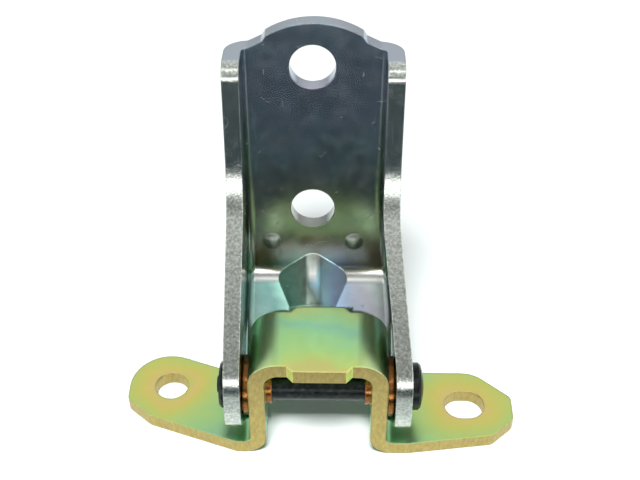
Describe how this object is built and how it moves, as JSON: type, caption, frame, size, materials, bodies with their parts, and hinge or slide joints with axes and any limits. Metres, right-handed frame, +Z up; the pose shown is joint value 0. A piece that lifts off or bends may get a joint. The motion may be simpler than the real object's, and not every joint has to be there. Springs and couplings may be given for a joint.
{
  "type": "truck door hinge",
  "caption": "Strap hinge with a U-shaped steel door bracket that swings on a bushed pin through a hat-shaped body bracket with two drilled feet.",
  "frame": {"origin": "on the mounting face under the feet, midway between the hat's legs and straight below the pin", "axes": "+X along the pin towards its domed head, +Y away from the open side of the door bracket's channel, +Z up from the mounting face"},
  "size_m": [0.1068, 0.0554, 0.1044],
  "materials": {
    "yellow_zinc": "satin yellow chromate over zinc",
    "blue_zinc": "satin clear chromate over zinc, slightly iridescent",
    "black_steel": "black oxide",
    "bronze": "satin"
  },
  "bodies": {
    "body_side": {"body_bracket": "yellow_zinc", "bush_left": "bronze", "bush_right": "bronze"},
    "door_side": {"door_bracket": "blue_zinc", "hinge_pin": "black_steel"}
  },
  "joints": [
    {"name": "swing", "type": "hinge", "parent": "body_side", "child": "door_side", "pos_m": [0, 0, 0.0172], "axis": [1, 0, 0], "range_deg": [-45, 105]}
  ]
}
